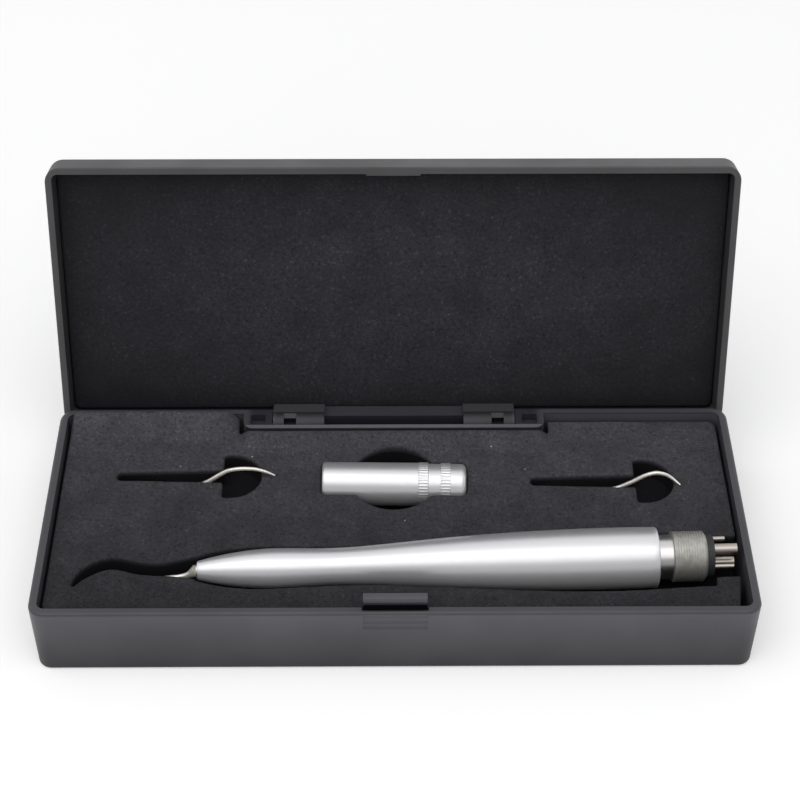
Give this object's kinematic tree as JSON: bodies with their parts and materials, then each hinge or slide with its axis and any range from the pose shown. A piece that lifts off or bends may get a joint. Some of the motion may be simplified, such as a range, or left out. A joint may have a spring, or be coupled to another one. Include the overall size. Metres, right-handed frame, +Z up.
{
  "type": "dental scaler kit",
  "caption": "Slim air-driven dental scaler handpiece in a hinged foam-lined storage case, with spare scaling tips and a torque wrench in their own cut-outs.",
  "frame": {"origin": "middle of the case's underside, where it rests on a table", "axes": "+X along the handpiece towards its hose end, +Y from the snap catch to the hinge, +Z up; the lid stands open"},
  "size_m": [0.2, 0.1144, 0.0951],
  "materials": {
    "case_plastic": "fine moulded grain",
    "base_foam": "closed-cell foam, fine speckle",
    "lid_foam": "smooth closed-cell foam",
    "satin_steel": "satin",
    "steel": "machined",
    "tip_steel": "satin, slightly warm",
    "plated_brass": "nickel plated",
    "bushing": "turned",
    "seal_rubber": "matte",
    "line_plastic": "smooth"
  },
  "bodies": {
    "case": {"case_base": "case_plastic", "base_foam": "base_foam"},
    "lid": {"case_lid": "case_plastic", "lid_foam": "lid_foam", "hinge_pin_left": "steel", "hinge_pin_right": "steel"},
    "handpiece": {"handle_sleeve": "satin_steel", "vibrating_shaft": "steel", "jet_bush": "bushing", "front_damper_ring": "seal_rubber", "rear_damper_ring": "seal_rubber", "shaft_nut": "steel", "air_manifold": "bushing", "drive_air_line": "line_plastic", "water_line": "line_plastic", "hose_connector": "plated_brass", "connector_seal": "seal_rubber", "thread_ring": "plated_brass", "rear_gasket": "seal_rubber", "drive_air_tube": "steel", "exhaust_tube": "steel", "water_tube": "steel", "chip_air_tube": "steel", "fitted_tip": "tip_steel"},
    "rotor": {"rotor_ring": "steel"},
    "wrench": {"wrench_sleeve": "satin_steel", "wrench_knob": "satin_steel", "friction_rings": "line_plastic", "disc_springs": "steel"},
    "wrench_drive": {"drive_core": "steel"},
    "left_tip": {"spare_tip_left": "tip_steel"},
    "right_tip": {"spare_tip_right": "tip_steel"}
  },
  "joints": [
    {"name": "lid_hinge", "type": "hinge", "parent": "case", "child": "lid", "pos_m": [0, 0.0389, 0.0187], "axis": [-1, 0, 0], "range_deg": [-105, 0]},
    {"name": "handpiece_lift", "type": "slide", "parent": "case", "child": "handpiece", "axis": [0, 0, 1], "range_m": [0, 0.035]},
    {"name": "rotor_spin", "type": "hinge", "parent": "handpiece", "child": "rotor", "pos_m": [-0.0551, -0.0221, 0.0196], "axis": [0.9994, 0.0349, 0], "continuous": true},
    {"name": "wrench_lift", "type": "slide", "parent": "case", "child": "wrench", "axis": [0, 0, 1], "range_m": [0, 0.035]},
    {"name": "wrench_slip", "type": "hinge", "parent": "wrench", "child": "wrench_drive", "pos_m": [0, 0.0139, 0.0178], "axis": [0.9998, -0.0175, 0], "continuous": true},
    {"name": "left_tip_lift", "type": "slide", "parent": "case", "child": "left_tip", "axis": [0, 0, 1], "range_m": [0, 0.03]},
    {"name": "right_tip_lift", "type": "slide", "parent": "case", "child": "right_tip", "axis": [0, 0, 1], "range_m": [0, 0.03]}
  ]
}
